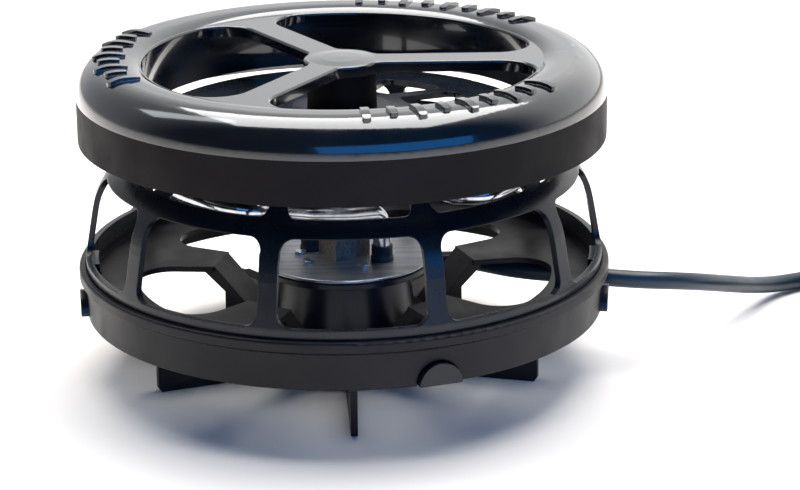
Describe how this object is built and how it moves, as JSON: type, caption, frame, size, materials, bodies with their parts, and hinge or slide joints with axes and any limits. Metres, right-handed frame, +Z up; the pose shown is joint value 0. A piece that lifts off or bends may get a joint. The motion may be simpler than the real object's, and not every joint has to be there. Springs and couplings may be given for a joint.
{
  "type": "pond de-icer",
  "caption": "Round floating pond heater: float ring with three spokes over a windowed guard dome, base pan with heater cup and radial feet, mains cord.",
  "frame": {"origin": "on the floor under the middle of the radial feet", "axes": "+Z up, -Y the front, +X the side where the cord lies; azimuths run from the front towards +X"},
  "size_m": [0.464, 0.2396, 0.1491],
  "materials": {
    "float_gloss": "high gloss moulded",
    "float_matt": "fine matt moulded",
    "foam": "closed-cell foam",
    "cage_plastic": "semi-gloss moulded",
    "pan_plastic": "satin moulded",
    "housing_plastic": "satin moulded",
    "lid_steel": "brushed",
    "tube_chrome": "bright plated tube",
    "block_metal": "as machined",
    "screw_steel": "bright",
    "rubber": "satin",
    "cord_jacket": "satin jacket",
    "brass": "bright",
    "potting": "cast",
    "lead_white": "insulation"
  },
  "bodies": {
    "root": {"cage": "cage_plastic", "base_pan": "pan_plastic", "heater_housing": "housing_plastic", "housing_lid": "lid_steel", "lid_gasket": "rubber", "lid_screws": "screw_steel", "sensor_block": "block_metal", "heating_element": "tube_chrome", "element_seals": "rubber", "element_pins": "brass", "thermostat": "housing_plastic", "thermal_cutout": "brass", "potting": "potting", "lead_wires": "lead_white", "housing_gland": "rubber", "foot_spider": "pan_plastic", "foot_screws": "screw_steel", "inner_cord": "cord_jacket", "cord_gland": "rubber", "cord_tube": "cord_jacket", "cord_coil": "cord_jacket", "cord_tail": "cord_jacket", "plug_body": "cord_jacket", "plug_pins": "brass"},
    "seal": {"post_seal": "rubber"},
    "float": {"float_cover": "float_gloss", "float_base": "float_matt", "float_foam": "foam", "float_post": "float_matt", "post_screw": "screw_steel"}
  },
  "joints": [
    {"name": "float_lift", "type": "slide", "parent": "root", "child": "seal", "axis": [0, 0, 1], "range_m": [0, 0.0121]},
    {"name": "float_turn", "type": "hinge", "parent": "seal", "child": "float", "pos_m": [0, 0, 0.13], "axis": [0, 0, 1], "range_deg": [0, 1080]}
  ],
  "couplings": [
    {"joint": "float_lift", "follows": "float_turn", "m_per_rad": 0.00063662}
  ]
}
